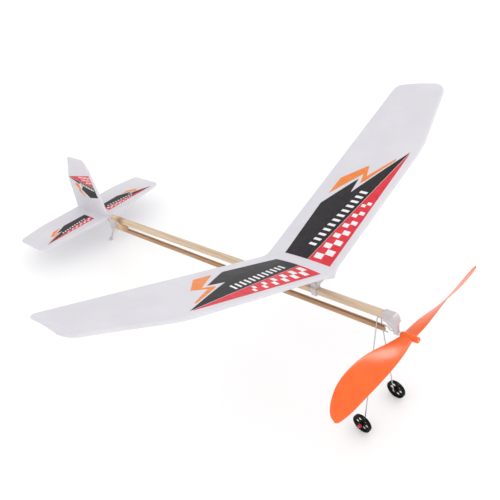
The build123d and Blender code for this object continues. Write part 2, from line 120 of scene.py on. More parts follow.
PROP_ADVANCE = 290
HOOK_X = 409
REAR_HOOK_X = 4
REAR_HOOK_Z = -12.4
RUBBER_BEND = 0.95  # inner radius of the rubber's loop round either hook
RUBBER_STRAND = 1.1
RUBBER_HEIGHT = 4.2
RUBBER_BANDS = 4
KNOT_MIDDLE = (18.5, 0, -9.2)
KNOT_HALF = (11, 3.1, 5.9)
WOOD_KNOT = (19, -1.5, 0.5)
WHEEL_RADIUS = 9.5
WHEEL_HALF_WIDTH = 1.5
WHEEL_HALF_WEB = 0.45
WHEEL_HUB_HALF_WIDTH = 2.3
WHEEL_HOLES = 6
WHEEL_HOLE_CIRCLE = 5  # radius of the circle that the holes lie on
WHEEL_HOLE_RADIUS = 1.6
STOP_RADIUS = 1.7
STOP_HALF_LENGTH = 1.3
BEAD_RADIUS = 1.9
BEAD_HALF_LENGTH = 0.9
BEAD_X = 426.1
FILM = 0.05  # how far a printed film stands on what it is printed on

# ---------------------------------------------------------------- places

MM = 0.001
joints = {joint["name"]: joint for joint in frame["joints"]}
along = Vector(joints["wing_trim_slide"]["axis"])
left = Vector((0, 1, 0))
up = along.cross(left)
blade_middle = Vector(joints["propeller_spin"]["pos_m"])
AIRCRAFT = (
    Matrix.Translation(blade_middle)
    @ Matrix((along, left, up)).transposed().to_4x4()
    @ Matrix.Scale(MM, 4)
    @ Matrix.Translation((-BLADE_X, 0, -SHAFT_Z))
)
PANEL = (
    AIRCRAFT
    @ Matrix.Translation((WING_TE_X, 0, WING_Z))
    @ Matrix.Rotation(radians(WING_DIHEDRAL), 4, "X")
    @ Matrix.Rotation(radians(-WING_INCIDENCE), 4, "Y")
)
STABILIZER = AIRCRAFT @ Matrix.Translation((0, 0, STAB_BOTTOM_Z))
# The fin's own Y is the aeroplane's Z, and its thickness runs from left to right
FIN = AIRCRAFT @ Matrix.Translation((0, FOAM / 2, 0)) @ Matrix.Rotation(radians(90), 4, "X")
MIRROR = Matrix.Scale(-1, 4, (0, 1, 0))


# ---------------------------------------------------------------- materials


class Shader:
    """A Principled material, with short calls for the nodes that feed it."""

    def __init__(self, name, **sockets):
        self.material = bpy.data.materials.new(name)
        self.material.use_nodes = True
        self.tree = self.material.node_tree
        self.surface = self.tree.nodes["Principled BSDF"]
        for key, value in sockets.items():
            self.surface.inputs[key.replace("_", " ")].default_value = value
        self.place = self.tree.nodes.new("ShaderNodeTexCoord").outputs["Object"]

    def node(self, kind, settings=None, **inputs):
        made = self.tree.nodes.new("ShaderNode" + kind)
        for key, value in (settings or {}).items():
            setattr(made, key, value)
        for key, value in inputs.items():
            socket = made.inputs[key.replace("_", " ")]
            if isinstance(value, bpy.types.NodeSocket):
                self.tree.links.new(value, socket)
            else:
                socket.default_value = value
        return made

    def grain(self, stretch, turn=(0, 0, 0)):
        """Coordinates in metres, turned and stretched."""
        turned = self.node("Mapping", {"vector_type": "TEXTURE"}, Vector=self.place, Rotation=turn)
        return self.node("Mapping", Vector=turned.outputs[0], Scale=stretch).outputs[0]

    def noise(self, scale, detail=3.0, where=None, rough=0.5):
        made = self.node("TexNoise", Vector=where or self.place, Scale=scale, Detail=detail, Roughness=rough)
        return made.outputs["Fac"]

    def cells(self, scale):
        made = self.node("TexVoronoi", {"feature": "SMOOTH_F1"}, Vector=self.place, Scale=scale)
        return made.outputs["Distance"]

    def ramp(self, factor, *stops):
        """Colours at places along a factor, each stop being (place, colour)."""
        made = self.node("ValToRGB", Fac=factor)
        elements = made.color_ramp.elements
        for i, (where, colour) in enumerate(stops):
            element = elements[i] if i < 2 else elements.new(where)
            element.position = where
            element.color = (*colour, 1)
        return made.outputs["Color"]

    def blend(self, factor, first, second):
        made = self.node("Mix", {"data_type": "RGBA", "clamp_factor": True})
        for socket, value in ((made.inputs[0], factor), (made.inputs[6], first), (made.inputs[7], second)):
            if isinstance(value, bpy.types.NodeSocket):
                self.tree.links.new(value, socket)
            else:
                socket.default_value = value
        return made.outputs[2]

    def range(self, factor, low, high):
        return self.node("MapRange", Value=factor, To_Min=low, To_Max=high).outputs[0]

    def colour(self, socket):
        self.tree.links.new(socket, self.surface.inputs["Base Color"])

    def roughness(self, factor, low, high):
        self.tree.links.new(self.range(factor, low, high), self.surface.inputs["Roughness"])

    def bump(self, *layers):
        """Stacked bumps, each layer being (height, depth in metres)."""
        normal = None
        for height, depth in layers:
            made = self.node("Bump", Height=height, Distance=depth, Strength=1.0)
            if normal:
                self.tree.links.new(normal, made.inputs["Normal"])
            normal = made.outputs[0]
        self.tree.links.new(normal, self.surface.inputs["Normal"])


def foam_material():
    foam = Shader("foam", Subsurface_Weight=0.12, Subsurface_Scale=0.002, IOR=1.35)
    beads = foam.cells(BEADS)
    broad = foam.noise(28, 2)
    tint = foam.ramp(broad, (0.35, (0.665, 0.65, 0.695)), (0.65, (0.70, 0.685, 0.73)))
    foam.colour(foam.blend(foam.range(beads, 0.0, 0.10), tint, (0.57, 0.56, 0.62, 1)))
    foam.roughness(foam.noise(160, 3), 0.48, 0.66)
    foam.bump((beads, 0.00010), (broad, 0.0006))
    return foam.material


def print_material(name, deep, light, roughness):
    """Ink on a thin film that shows the foam's beads underneath."""
    ink = Shader(name, Specular_IOR_Level=0.22)
    beads = ink.cells(BEADS)
    ink.colour(ink.ramp(ink.noise(240, 4), (0.3, deep), (0.7, light)))
    ink.roughness(ink.noise(90, 3), roughness - 0.05, roughness + 0.1)
    ink.bump((beads, 0.00006), (ink.noise(28, 2), 0.0005))
    return ink.material


def wood_material():
    """Straight-grained wood, its grain along the stick, with one knot near the tail."""
    wood = Shader("wood", Specular_IOR_Level=0.35)
    pitch = atan2(along.z, along.x)
    knot_place = AIRCRAFT @ Vector(WOOD_KNOT)
    reach = wood.node("VectorMath", {"operation": "DISTANCE"}, Vector=wood.place)
    reach.inputs[1].default_value = knot_place
    near = wood.node("MapRange", Value=reach.outputs["Value"], From_Min=0.0015, From_Max=0.011)
    near.inputs["To Min"].default_value = 1.0
    near.inputs["To Max"].default_value = 0.0
    knot = near.outputs[0]
    warp = wood.node("VectorMath", {"operation": "SCALE"}, Vector=wood.place)
    wood.tree.links.new(wood.range(knot, 1.0, 1.012), warp.inputs["Scale"])
    turned = wood.node(
        "Mapping", {"vector_type": "TEXTURE"}, Vector=warp.outputs[0], Rotation=(0, -pitch, 0)
    )
    long_grain = wood.node("Mapping", Vector=turned.outputs[0], Scale=(9, 420, 420)).outputs[0]
    pores = wood.node("Mapping", Vector=turned.outputs[0], Scale=(70, 1500, 1500)).outputs[0]
    lines = wood.noise(1.0, 4, long_grain, 0.6)
    specks = wood.noise(1.0, 2, pores)
    base = wood.ramp(
        lines,
        (0.30, (0.52, 0.37, 0.25)),
        (0.72, (0.82, 0.68, 0.53)),
        (0.50, (0.72, 0.57, 0.41)),
    )
    dotted = wood.blend(wood.range(specks, 0.0, 0.45), base, (0.38, 0.24, 0.12, 1))
    wood.colour(wood.blend(knot, dotted, (0.30, 0.15, 0.055, 1)))
    wood.roughness(lines, 0.62, 0.45)
    wood.bump((lines, 0.00012), (specks, 0.00006))
    return wood.material


def rubber_material():
    rubber = Shader("rubber", Subsurface_Weight=0.15, Subsurface_Scale=0.001)
    pitch = atan2(along.z, along.x)
    streaks = rubber.noise(1.0, 3, rubber.grain((22, 900, 900), (0, -pitch, 0)))
    worn = rubber.ramp(streaks, (0.3, (0.38, 0.21, 0.105)), (0.7, (0.58, 0.36, 0.20)))
    # Near the rear hook the rubber is made paler, fading out between 12 and 22 mm from the hook
    hook = rubber.node("VectorMath", {"operation": "DISTANCE"}, Vector=rubber.place)
    hook.inputs[1].default_value = AIRCRAFT @ Vector((REAR_HOOK_X, 0, REAR_HOOK_Z))
    near = rubber.node("MapRange", Value=hook.outputs["Value"], From_Min=0.012, From_Max=0.022)
    near.inputs["To Min"].default_value = 0.75
    near.inputs["To Max"].default_value = 0.0
    rubber.colour(rubber.blend(near.outputs[0], worn, (0.72, 0.52, 0.32, 1)))
    rubber.roughness(streaks, 0.42, 0.62)
    rubber.bump((streaks, 0.00008), (rubber.noise(1400, 2), 0.00002))
    return rubber.material


def moulded_material(name, deep, light, roughness, **sockets):
    """Moulded plastic: faint flow marks in its colour and gloss, and a fine grain."""
    plastic = Shader(name, **sockets)
    flow = plastic.noise(60, 3)
    plastic.colour(plastic.ramp(flow, (0.3, deep), (0.7, light)))
    plastic.roughness(plastic.noise(120, 2), roughness - 0.04, roughness + 0.05)
    plastic.bump((plastic.noise(500, 2), 0.000004), (flow, 0.00012))
    return plastic.material


def steel_material():
    steel = Shader("steel", Metallic=1.0)
    drawn = steel.noise(2600, 3)
    steel.colour(steel.ramp(drawn, (0.3, (0.36, 0.37, 0.39)), (0.7, (0.58, 0.59, 0.61))))
    steel.roughness(steel.noise(700, 2), 0.24, 0.42)
    steel.bump((drawn, 0.00001))
    return steel.material


foam = foam_material()
inks = {
    "black": print_material("print_black", (0.014, 0.012, 0.014), (0.026, 0.022, 0.025), 0.5),
    "red": print_material("print_red", (0.62, 0.026, 0.040), (0.76, 0.045, 0.062), 0.42),
    "orange": print_material("print_orange", (0.78, 0.20, 0.035), (0.87, 0.27, 0.06), 0.42),
    "white": print_material("print_white", (0.80, 0.79, 0.82), (0.88, 0.87, 0.90), 0.42),
}
wood = wood_material()
rubber = rubber_material()
orange = moulded_material(
    "orange_plastic",
    (0.86, 0.114, 0.010),
    (0.93, 0.138, 0.013),
    0.29,
    Subsurface_Weight=0.12,
    Subsurface_Radius=(1.0, 0.35, 0.1),
    Subsurface_Scale=0.001,
    Specular_IOR_Level=0.4,
)
clear = moulded_material(
    "clear_plastic",
    (0.66, 0.62, 0.63),
    (0.78, 0.74, 0.75),
    0.30,
    Transmission_Weight=0.30,
    IOR=1.49,
    Subsurface_Weight=0.2,
    Subsurface_Scale=0.002,
)
black = moulded_material(
    "black_plastic", (0.003, 0.003, 0.0035), (0.006, 0.006, 0.007), 0.3, Specular_IOR_Level=0.08
)
red = moulded_material("red_plastic", (0.48, 0.015, 0.04), (0.62, 0.03, 0.06), 0.28)
bead = moulded_material("bead_plastic", (0.70, 0.68, 0.66), (0.82, 0.80, 0.78), 0.25)
steel = steel_material()

# ---------------------------------------------------------------- making pieces


def piece(name, bm, place, material, body, replaces=(), sharp=35):
    """A finished piece from a bmesh in mm, closed, smooth where it bends less than sharp degrees."""
    bm.transform(place)
    bmesh.ops.recalc_face_normals(bm, faces=bm.faces)
    for face in bm.faces:
        face.smooth = True
    for edge in bm.edges:
        edge.smooth = edge.calc_face_angle(0) < radians(sharp)
    mesh = bpy.data.meshes.new(name)
    bm.to_mesh(mesh)
    bm.free()
    mesh.materials.append(material)
    made = bpy.data.objects.new(name, mesh)
    bpy.context.scene.collection.objects.link(made)
    if body:
        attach(made, body)
    if replaces:
        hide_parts(*replaces)
    return made


def rounded(corners):
    """Outline through corners (x, y, radius), each corner with a radius made an arc."""
    points = []
    for i, (x, y, radius) in enumerate(corners):
        here = Vector((x, y))
        if not radius:
            points.append(here)
            continue
        back = (Vector(corners[i - 1][:2]) - here).normalized()
        ahead = (Vector(corners[(i + 1) % len(corners)][:2]) - here).normalized()
        half = acos(back.dot(ahead)) / 2
        centre = here + (back + ahead).normalized() * radius / sin(half)
        start = here + back * radius / tan(half) - centre
        end = here + ahead * radius / tan(half) - centre
        first = atan2(start.y, start.x)
        turn = (atan2(end.y, end.x) - first + pi) % tau - pi
        steps = max(3, round(abs(turn) * max(radius, 4) / 1.6))
        for k in range(steps + 1):
            angle = first + turn * k / steps
            points.append(centre + radius * Vector((cos(angle), sin(angle))))
    return points


def inset(points, distances):
    """The outline, counter-clockwise, moved inwards by a distance at each point."""
    moved = []
    for i, here in enumerate(points):
        into = (here - points[i - 1]).normalized()
        out = (points[(i + 1) % len(points)] - here).normalized()
        normals = Vector((-into.y, into.x)), Vector((-out.y, out.x))
        moved.append(here + (normals[0] + normals[1]) * distances[i] / (1 + normals[0].dot(normals[1])))
    return moved


def cut_grid(bm, step):
    """Cuts every face along a square grid, so that a flat shape can follow a curved one."""
    for axis in (0, 1):
        low = min(v.co[axis] for v in bm.verts)
        high = max(v.co[axis] for v in bm.verts)
        normal = Vector((axis == 0, axis == 1, 0))
        for k in range(1, int((high - low) / step) + 1):
            where = normal * (low + k * step)
            everything = bm.verts[:] + bm.edges[:] + bm.faces[:]
            bmesh.ops.bisect_plane(bm, geom=everything, dist=0.001, plane_co=where, plane_no=normal)


def ripple(x, y):
    """Slow unevenness of the foam's surface."""
    return WAVE * noise.noise(Vector((0.03 * x, 0.03 * y, 0.5)))


def flat(x, y):
    return ripple(x, y)


def arched(x, y):
    valley = tan(radians(WING_DIHEDRAL)) * max(0, ROOT_EASE - y) ** 2 / (2 * ROOT_EASE)
    return 4 * WING_CAMBER * x * (WING_CHORD - x) / WING_CHORD**2 + valley + ripple(x, y)


def plate(outline, surface, keep_square=lambda point: False):
    """A foam plate, its rim rounded except where keep_square says so, bent on to a surface."""
    bm = bmesh.new()
    quarter = [pi / 2 * k / RIM_STEPS for k in range(RIM_STEPS + 1)]
    profile = [(RIM * (1 - sin(a)), RIM * (1 - cos(a))) for a in quarter]
    profile += [(depth, FOAM - height) for depth, height in reversed(profile)]
    shares = [0.12 if keep_square(point) else 1.0 for point in outline]
    rings = []
    for depth, height in profile:
        ring = inset(outline, [depth * share for share in shares])
        rings.append([bm.verts.new((p.x, p.y, height)) for p in ring])
    count = len(outline)
    for lower, upper in zip(rings, rings[1:]):
        for i in range(count):
            j = (i + 1) % count
            bm.faces.new((lower[i], lower[j], upper[j], upper[i]))
    caps = [bm.faces.new(list(reversed(rings[0]))), bm.faces.new(rings[-1])]
    bm.normal_update()
    bmesh.ops.triangulate(bm, faces=caps)
    cut_grid(bm, 5.0)
    for vert in bm.verts:
        vert.co.z += surface(vert.co.x, vert.co.y)
    return bm


def film(shapes, surface, layer):
    """A printed film of one colour: closed, and just proud of the plate or of the film below it."""
    bm = bmesh.new()
    for shape in shapes:
        bm.faces.new([bm.verts.new((x, y, 0)) for x, y in shape])
    bm.normal_update()
    bmesh.ops.triangulate(bm, faces=bm.faces[:])
    cut_grid(bm, 4.0)
    raised = bmesh.ops.extrude_face_region(bm, geom=bm.faces[:])["geom"]
    tops = {g for g in raised if isinstance(g, bmesh.types.BMVert)}
    for vert in bm.verts:
        vert.co.z = FOAM + surface(vert.co.x, vert.co.y) + (FILM * layer if vert in tops else -FILM)
    return bm


def print_on(name, body, place, surface, livery):
    """One piece of film for each colour of a livery, {colour: [outline, ...]}."""
    for colour, shapes in livery.items():
        layer = 2 if colour == "white" else 1
        bm = film(shapes, surface, layer)
        piece(f"{name}_{colour}", bm, place, inks[colour], body, sharp=50)


def lathe(profile, steps=72):
    """A closed ring or disc turned about X from a closed profile of (x, radius)."""
    bm = bmesh.new()
    rings = []
    for k in range(steps):
        angle = tau * k / steps
        rings.append([bm.verts.new((x, r * cos(angle), r * sin(angle))) for x, r in profile])
    for k in range(steps):
        here, there = rings[k], rings[(k + 1) % steps]
        for i in range(len(profile)):
            j = (i + 1) % len(profile)
            bm.faces.new((here[i], here[j], there[j], there[i]))
    return bm


def eased(corners, radius):
    """A closed profile with every corner rounded by the radius."""
    return [tuple(p) for p in rounded([(x, y, radius) for x, y in corners])]


def to_object(bm):
    bmesh.ops.recalc_face_normals(bm, faces=bm.faces)
    mesh = bpy.data.meshes.new("working")
    bm.to_mesh(mesh)
    bm.free()
    made = bpy.data.objects.new("working", mesh)
    bpy.context.scene.collection.objects.link(made)
    return made


def modified(working, *modifiers):
    """The bmesh of a working object after (kind, settings) modifiers. The object is used up."""
    for kind, settings in modifiers:
        modifier = working.modifiers.new(kind, kind)
        for key, value in settings.items():
            setattr(modifier, key, value)
    ready = working.evaluated_get(bpy.context.evaluated_depsgraph_get())
    bm = bmesh.new()
    bm.from_mesh(ready.to_mesh())
    ready.to_mesh_clear()
    bpy.data.objects.remove(working)
    return bm


def combined(first, second, operation):
    """Two closed bmeshes joined or cut, both used up."""
    target, tool = to_object(first), to_object(second)
    bm = modified(target, ("BOOLEAN", {"object": tool, "operation": operation, "solver": "EXACT"}))
    bpy.data.objects.remove(tool)
    return bm


def copied(node):
    """A CAD node's mesh in the aeroplane's axes, its seams welded and its flat faces whole again."""
    bm = bmesh.new()
    bm.from_mesh(frame["nodes"][node].data)
    bm.transform(AIRCRAFT.inverted())
    bmesh.ops.remove_doubles(bm, verts=bm.verts, dist=0.004)
    bmesh.ops.dissolve_limit(bm, angle_limit=radians(2), verts=bm.verts, edges=bm.edges)
    return bm


def softened(node, width, body):
    """A moulded fitting in place of its CAD node, with every edge eased by width."""
    settings = {"width": width, "segments": 3, "limit_method": "ANGLE", "angle_limit": radians(40)}
    settings.update({"harden_normals": False, "use_clamp_overlap": True})
    bm = modified(to_object(copied(node)), ("BEVEL", settings))
    return piece(f"{node}_moulding", bm, AIRCRAFT, clear, body, (node,), sharp=30)


def rod(low, high, radius, steps=32):
    """A plain rod along X, used only to cut with."""
    bm = lathe([(low, 0.0001), (high, 0.0001), (high, radius), (low, radius)], steps)
    bmesh.ops.remove_doubles(bm, verts=bm.verts, dist=0.001)
    return bm


def melted(node, body, bore=None):
    """A thick moulding in place of its CAD node, with soft corners and slightly sunk faces.

    Melting closes a fine bore, so it is cut again afterwards.
    """
    remesh = {"mode": "VOXEL", "voxel_size": 0.25}
    bm = modified(to_object(copied(node)), ("REMESH", remesh), ("SMOOTH", {"factor": 0.5, "iterations": 7}))
    for vert in bm.verts:
        vert.co += vert.normal * 0.12 * noise.noise(0.35 * vert.co)
    if bore:
        bm = combined(bm, bore, "DIFFERENCE")
    return piece(f"{node}_moulding", bm, AIRCRAFT, clear, body, (node,), sharp=60)


# ---------------------------------------------------------------- foam wing and tail

WING_OUTLINE = rounded(
    [
        (0, PANEL_JOINT_Y, 0),
        (WING_CHORD + ROOT_NOSE, PANEL_JOINT_Y, 0),
        (WING_CHORD, ROOT_NOSE_Y, 20),
        (WING_CHORD, KINK_Y, 90),
        (TIP_CHORD, PANEL_LENGTH, 15),
        (0, PANEL_LENGTH - TIP_RAKE, 8),
    ]
)


def square_root(point):
    return point.y < 1


def quad(x, y, half_x, half_y, slant=0.0):
    """A four-sided mark about (x, y), its outer corners moved along X by slant."""
    return [
        (x - half_x - slant, y - half_y),
        (x + half_x - slant, y - half_y),
        (x + half_x + slant, y + half_y),
        (x - half_x + slant, y + half_y),
    ]


def between(low, high, share):
    return low + (high - low) * share


def wing_livery():
    checks = []
    for k in range(6):
        share = k / 5
        half_x, half_y = between(4.3, 2.1, share), between(2.9, 1.6, share)
        checks.append(quad(between(57.8, 65.4, share), between(15.2, 78, share), half_x, half_y))
        checks.append(quad(between(66.4, 69.9, share), between(21.2, 81.5, share), half_x, half_y))
    dashes = []
    for k in range(12):
        share = k / 11
        x, y = between(43.4, 56.4, share), between(25, 92, share)
        dashes.append(quad(x, y, 4.1, 1.3, 0.4))
    return {
        "black": [[(20.5, 8.5), (49, 8.5), (73, 149), (43, 89), (41, 106.5), (18, 71)]],
        "red": [[(49.4, 8.5), (74.6, 8.5), (73.6, 146), (73, 146)]],
        "orange": [
            [
                (19, 83.5),
                (42.4, 113),
                (46, 101.4),
                (49.5, 105.7),
                (65, 136),
                (64.2, 138),
                (47.5, 111),
                (42, 124),
                (19.6, 104),
            ]
        ],
        "white": checks + dashes,
    }


for side, place in (("left", PANEL), ("right", MIRROR @ PANEL)):
    node = f"wing_{side}"
    bm = plate(WING_OUTLINE, arched, square_root)
    piece(f"{node}_foam", bm, place, foam, "wing", (node,))
    print_on(f"{node}_print", "wing", place, arched, wing_livery())

STAB_OUTLINE = rounded(
    [
        (STAB_LE_X, 0, 12),
        (STAB_TIP_FRONT_X, STAB_HALF_SPAN, 9),
        (STAB_TIP_REAR_X, STAB_HALF_SPAN, 6),
        (STAB_TE_X, STAB_BULGE_Y, 30),
        (STAB_TE_X, -STAB_BULGE_Y, 30),
        (STAB_TIP_REAR_X, -STAB_HALF_SPAN, 6),
        (STAB_TIP_FRONT_X, -STAB_HALF_SPAN, 9),
    ]
)


def stab_livery():
    """The wing's print made smaller, on both halves, with fewer and finer marks."""

    def shrunk(shape):
        return [(0.455 * x - 60, 0.49 * y + 7.2) for x, y in shape]

    livery = {c: [shrunk(s) for s in shapes] for c, shapes in wing_livery().items() if c != "white"}
    livery["white"] = []
    for k in range(6):
        share = k / 5
        half_x, half_y = between(1.5, 0.8, share), between(1.3, 0.8, share)
        livery["white"].append(quad(between(-33.4, -30.3, share), between(15, 47, share), half_x, half_y))
        livery["white"].append(quad(between(-30.2, -28.2, share), between(18, 49, share), half_x, half_y))
    for k in range(10):
        share = k / 9
        livery["white"].append(quad(between(-39.4, -34.4, share), between(19, 53, share), 1.5, 0.9, 0.2))
    for shapes in livery.values():
        shapes += [[(x, -y) for x, y in reversed(shape)] for shape in shapes]
    return livery


piece("stabilizer_foam", plate(STAB_OUTLINE, flat), STABILIZER, foam, "airframe", ("stabilizer",))
print_on("stabilizer_print", "airframe", STABILIZER, flat, stab_livery())

FIN_OUTLINE = rounded(
    [
        (FIN_LE_X, FIN_BASE_Z, 0),
        (-12.5, 18.5, 30),
        (-18.5, 59.2, 20),
        (-24.5, FIN_HEIGHT, 9),
        (-59.5, FIN_HEIGHT, 1.5),
        (-77, 45.1, 4),
        (FIN_TE_X, FIN_BASE_Z, 0),
        (FIN_TAB_REAR, FIN_BASE_Z, 0),
        (FIN_TAB_REAR, FIN_TAB_Z, 0),
        (FIN_TAB_FRONT, FIN_TAB_Z, 0),
        (FIN_TAB_FRONT, FIN_BASE_Z, 0),
    ]
)


def fin_livery():
    marks = []
    for row in range(3):
        for k in range(8 - 2 * row):
            x = -21.5 - 3.6 * k - 1.8 * (row % 2)
            marks.append(quad(x, 51 - 3.4 * row + 0.1 * x + 2, 0.9, 1.1))
    for k in range(9):
        share = k / 8
        marks.append(quad(between(-50, -22, share), between(39, 34.4, share), 1.0, 1.5, 0.3))
    return {
        "black": [[(-76, 45), (-46, 36), (-52, 30.5), (-37, 21), (-16.6, 24.5), (-18.2, 38)]],
        "red": [[(-75, 45.4), (-18.2, 38.5), (-20, 54.5)]],
        "orange": [[(-66, 37), (-58, 30), (-61, 27), (-46, 18.5), (-56, 28.6), (-53.5, 31.4), (-56, 38)]],
        "white": marks,
    }


piece("fin_foam", plate(FIN_OUTLINE, flat, lambda p: p.y < 1), FIN, foam, "airframe", ("fin",))
for side, place in (("right", FIN), ("left", MIRROR @ FIN)):
    print_on(f"fin_{side}_print", "airframe", place, flat, fin_livery())

# ---------------------------------------------------------------- propeller

# At shares of the radius, the blade's reach behind and ahead of the line from the shaft to its tip
BLADE_REACH = [
    (0.02, 7.6, 4),
    (0.17, 10.2, 6),
    (0.33, 14, 7),
    (0.5, 17, 7.5),
    (0.68, 18, 7.5),
    (0.82, 16, 7.5),
    (0.92, 11.5, 6.5),
    (0.98, 6.5, 5),
    (1.0, 2.5, 3),
]


def reach_at(share):
    """The blade's reach behind and ahead, smooth through the stations."""
    i = max(k for k, row in enumerate(BLADE_REACH[:-1]) if row[0] <= share + 1e-9)
    rows = [BLADE_REACH[min(max(k, 0), len(BLADE_REACH) - 1)] for k in (i - 1, i, i + 1, i + 2)]
    gap = rows[2][0] - rows[1][0]
    t = (share - rows[1][0]) / gap
    found = []
    for column in (1, 2):
        slopes = []
        for a, b in ((0, 2), (1, 3)):
            run = rows[b][0] - rows[a][0]
            slopes.append((rows[b][column] - rows[a][column]) / run * gap)
        y0, y1 = rows[1][column], rows[2][column]
        found.append(
            y0 * (2 * t**3 - 3 * t**2 + 1)
            + slopes[0] * (t**3 - 2 * t**2 + t)
            + y1 * (3 * t**2 - 2 * t**3)
            + slopes[1] * (t**3 - t**2)
        )
    return found


def blade(side):
    """One twisted blade of lens section, thick at the root and thin at its edges, about the hub's middle."""
    bm = bmesh.new()
    around, spans = 36, 64
    rings = []
    for k in range(spans + 1):
        share = 0.02 + 0.98 * (1 - (1 - k / spans) ** 1.35)
        behind, ahead = reach_at(min(share, 1.0))
        turn = atan(PROP_ADVANCE / (tau * share * PROP_RADIUS))
        thickness = 1.15 + 2.6 * max(0.0, 1 - share / 0.22) ** 2
        bow = 0.5 * min(1.0, share / 0.3)
        ring = []
        for n in range(around):
            angle = tau * n / around
            chord = (behind - ahead) / 2 + (behind + ahead) / 2 * cos(angle)
            high = thickness / 2 * sin(angle) + bow * (0.5 - cos(angle) ** 2)
            x = high * cos(turn) - chord * sin(turn)
            z = -side * (high * sin(turn) + chord * cos(turn))
            ring.append(bm.verts.new((x, side * share * PROP_RADIUS, z)))
        rings.append(ring)
    for here, there in zip(rings, rings[1:]):
        for n in range(around):
            m = (n + 1) % around
            bm.faces.new((here[n], here[m], there[m], there[n]))
    bm.faces.new(rings[0])
    bm.faces.new(rings[-1])
    return bm


def hub():
    half = HUB_LENGTH / 2
    outer = HUB_RADIUS
    profile = eased(
        [
            (-half, WIRE_RADIUS + 0.05),
            (half, WIRE_RADIUS + 0.05),
            (half, outer - 0.1),
            (half - 5.2, outer),
            (half - 5.6, outer + 0.25),
            (-half + 1.6, outer + 0.25),
            (-half + 1.2, outer - 0.15),
            (-half, outer - 0.15),
        ],
        0.22,
    )
    return lathe(profile)


def block(low, high):
    """A plain box, used only to cut with."""
    bm = bmesh.new()
    size = Vector(high) - Vector(low)
    place = Matrix.Translation((Vector(low) + Vector(high)) / 2) @ Matrix.Diagonal((*size, 1))
    bmesh.ops.create_cube(bm, size=1, matrix=place)
    return bm


propeller = combined(combined(hub(), blade(1), "UNION"), blade(-1), "UNION")
half_slot = WIRE_RADIUS + 0.05
slot = block((HUB_LENGTH / 2 - 1.2, -half_slot, -4), (HUB_LENGTH / 2 + 1, half_slot, 0))
slot.transform(Matrix.Rotation(radians(-BLADE_ANGLE), 4, "X"))
propeller = combined(propeller, slot, "DIFFERENCE")
hub_place = AIRCRAFT @ Matrix.Translation((BLADE_X, 0, SHAFT_Z))
hub_place = hub_place @ Matrix.Rotation(radians(BLADE_ANGLE), 4, "X")
piece("propeller_moulding", propeller, hub_place, orange, "propeller", ("propeller",), 40)

# ---------------------------------------------------------------- rubber motor


def rubber_bands():
    """Flat bands, one over the other, each a closed loop round both hooks."""
    start = Vector((REAR_HOOK_X, 0, REAR_HOOK_Z))
    end = Vector((HOOK_X, 0, SHAFT_Z))
    run = end - start
    length = run.length
    forward = run.normalized()
    upward = Vector((0, 1, 0)).cross(forward) * -1
    bm = bmesh.new()
    height = RUBBER_HEIGHT / RUBBER_BANDS
    middle = RUBBER_BEND + RUBBER_STRAND / 2
    long_steps, bend_steps = 150, 14
    for band in range(RUBBER_BANDS):
        level = (band - (RUBBER_BANDS - 1) / 2) * height
        path = []
        for k in range(long_steps):
            path.append((length * k / long_steps, middle, 0.0))
        for k in range(bend_steps):
            path.append((length, middle, pi * k / bend_steps))
        for k in range(long_steps):
            path.append((length * (1 - k / long_steps), middle, pi))
        for k in range(bend_steps):
            path.append((0.0, middle, pi + pi * k / bend_steps))
        rings = []
        for x, radius, angle in path:
            outward = Vector((sin(angle), cos(angle), 0))
            sway = sin(pi * x / length)
            shift = 0.22 * sway * sin(x * 0.031 + 2.1 * band + angle)
            lift = 0.16 * sway * sin(x * 0.023 + 1.7 * band + 2 * angle)
            lean = 0.35 * sway * sin(x * 0.019 + 2.4 * band + angle)
            centre = start + forward * x + upward * (level + lift)
            across = forward * outward.x + Vector((0, outward.y, 0))
            ring = []
            for n in range(12):
                a = tau * n / 12
                wide = abs(cos(a)) ** 0.5 * (1 if cos(a) >= 0 else -1) * (RUBBER_STRAND - 0.06) / 2
                tall = abs(sin(a)) ** 0.5 * (1 if sin(a) >= 0 else -1) * (height - 0.06) / 2
                turned = wide * cos(lean) - tall * sin(lean), wide * sin(lean) + tall * cos(lean)
                spot = centre + across * (radius + turned[0]) + upward * turned[1]
                ring.append(bm.verts.new(spot + Vector((0, shift, 0))))
            rings.append(ring)
        for k in range(len(rings)):
            here, there = rings[k], rings[(k + 1) % len(rings)]
            for n in range(12):
                m = (n + 1) % 12
                bm.faces.new((here[n], here[m], there[m], there[n]))
    return bm


def add_knot(bm):
    """The knot in the bands, a lump with the strands' turns wound round it."""
    along_steps, around_steps = 72, 64
    rings = []
    for k in range(along_steps + 1):
        x = cos(pi * (0.02 + 0.96 * k / along_steps))
        ring = []
        for n in range(around_steps):
            a = tau * n / around_steps
            turns = abs(sin(1.5 * a + 7.5 * x)) ** 0.6
            lump = 0.10 * noise.noise(Vector((2.2 * x, 1.3 * cos(a), 1.3 * sin(a))))
            r = (1 - abs(x) ** 2.6) ** 0.5 * (0.80 + 0.17 * turns + lump)
            spot = (x * KNOT_HALF[0], r * cos(a) * KNOT_HALF[1], r * sin(a) * KNOT_HALF[2])
            ring.append(bm.verts.new(Vector(KNOT_MIDDLE) + Vector(spot)))
        rings.append(ring)
    for here, there in zip(rings, rings[1:]):
        for n in range(around_steps):
            m = (n + 1) % around_steps
            bm.faces.new((here[n], here[m], there[m], there[n]))
    bm.faces.new(rings[0])
    bm.faces.new(rings[-1])
    return bm


bm = add_knot(rubber_bands())
bands = piece("rubber_bands", bm, AIRCRAFT, rubber, None, ("rubber_motor",), 60)
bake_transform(bands)

# ---------------------------------------------------------------- moulded fittings

